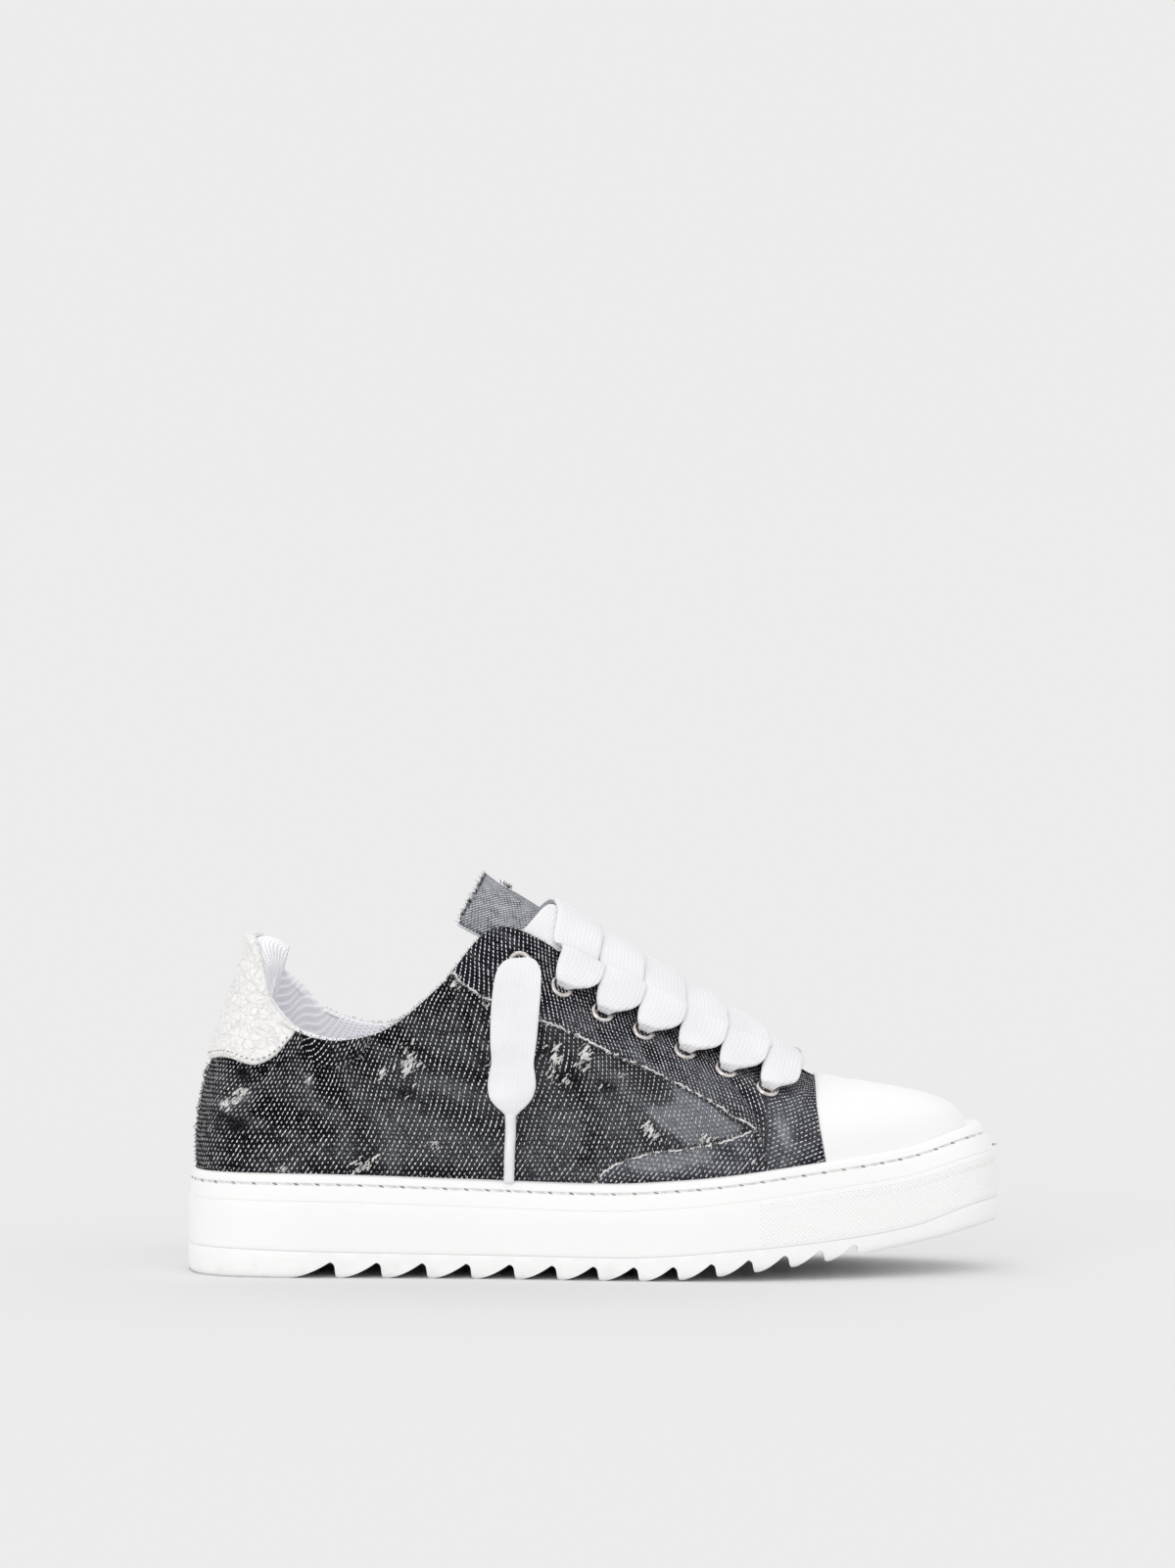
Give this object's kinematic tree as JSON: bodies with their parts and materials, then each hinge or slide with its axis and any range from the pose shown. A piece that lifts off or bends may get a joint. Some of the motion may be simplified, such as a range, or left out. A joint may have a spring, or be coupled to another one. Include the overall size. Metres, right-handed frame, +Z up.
{
  "type": "sneaker",
  "caption": "Worn low lace-up canvas sneaker for the right foot, with a thick white cup sole, saw-tooth tread, white leather toe cap and heel tab, and wide cotton laces.",
  "frame": {"origin": "on the ground, under the middle of the shoe's length and width (the hanging lace end is not counted)", "axes": "+X towards the toe, +Y towards the medial (inner) side, -Y towards the lateral (outer) side, +Z up"},
  "size_m": [0.282, 0.1028, 0.1374],
  "materials": {
    "white_rubber": "worn, half gloss",
    "denim": "washed black twill, frayed",
    "tongue_denim": "washed grey twill, raw edges",
    "white_leather": "satin, fine grain",
    "cotton_lace": "matt flat weave",
    "footbed": "matt mesh",
    "nickel": "polished, a little dull",
    "aglet_plastic": "clear film over white"
  },
  "bodies": {
    "root": {"outsole": "white_rubber", "midsole": "white_rubber", "insole": "footbed", "upper": "denim", "toe_cap": "white_leather", "heel_tab": "white_leather", "tongue": "tongue_denim", "lace_crossings": "cotton_lace", "lace_end": "cotton_lace", "aglet": "aglet_plastic", "eyelet_lateral_1": "nickel", "eyelet_lateral_2": "nickel", "eyelet_lateral_3": "nickel", "eyelet_lateral_4": "nickel", "eyelet_lateral_5": "nickel", "eyelet_lateral_6": "nickel", "eyelet_lateral_7": "nickel", "eyelet_medial_1": "nickel", "eyelet_medial_2": "nickel", "eyelet_medial_3": "nickel", "eyelet_medial_4": "nickel", "eyelet_medial_5": "nickel", "eyelet_medial_6": "nickel", "eyelet_medial_7": "nickel"}
  },
  "joints": []
}
